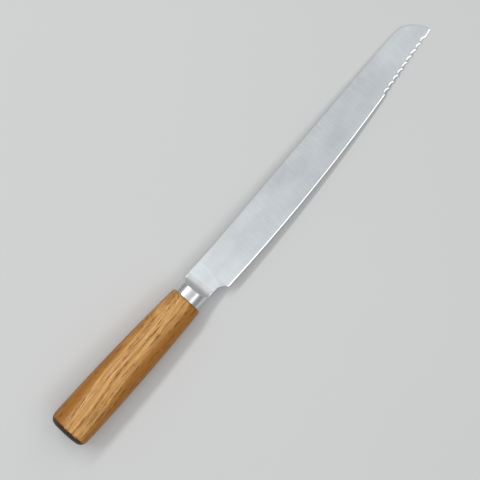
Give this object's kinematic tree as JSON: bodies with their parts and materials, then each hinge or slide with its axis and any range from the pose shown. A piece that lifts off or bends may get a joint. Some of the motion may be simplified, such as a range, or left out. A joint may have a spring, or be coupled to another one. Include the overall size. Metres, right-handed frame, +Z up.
{
  "type": "bread knife",
  "caption": "Bread knife with a long blade, a scalloped edge near the rounded tip, a plain edge behind it, a steel bolster and an oval wooden handle.",
  "frame": {"origin": "on the table, under the middle of the knife as it lies on its side", "axes": "+X along the handle towards the blade's tip, +Y towards the spine, +Z up from the table"},
  "size_m": [0.3455, 0.0308, 0.0246],
  "materials": {
    "blade_steel": "fine satin, brushed across the blade",
    "bolster_steel": "semi-polished",
    "handle_wood": "oiled, satin",
    "adhesive": "cured resin, hidden"
  },
  "bodies": {
    "root": {"blade": "blade_steel", "bolster": "bolster_steel", "handle": "handle_wood", "tang_adhesive": "adhesive"}
  },
  "joints": []
}
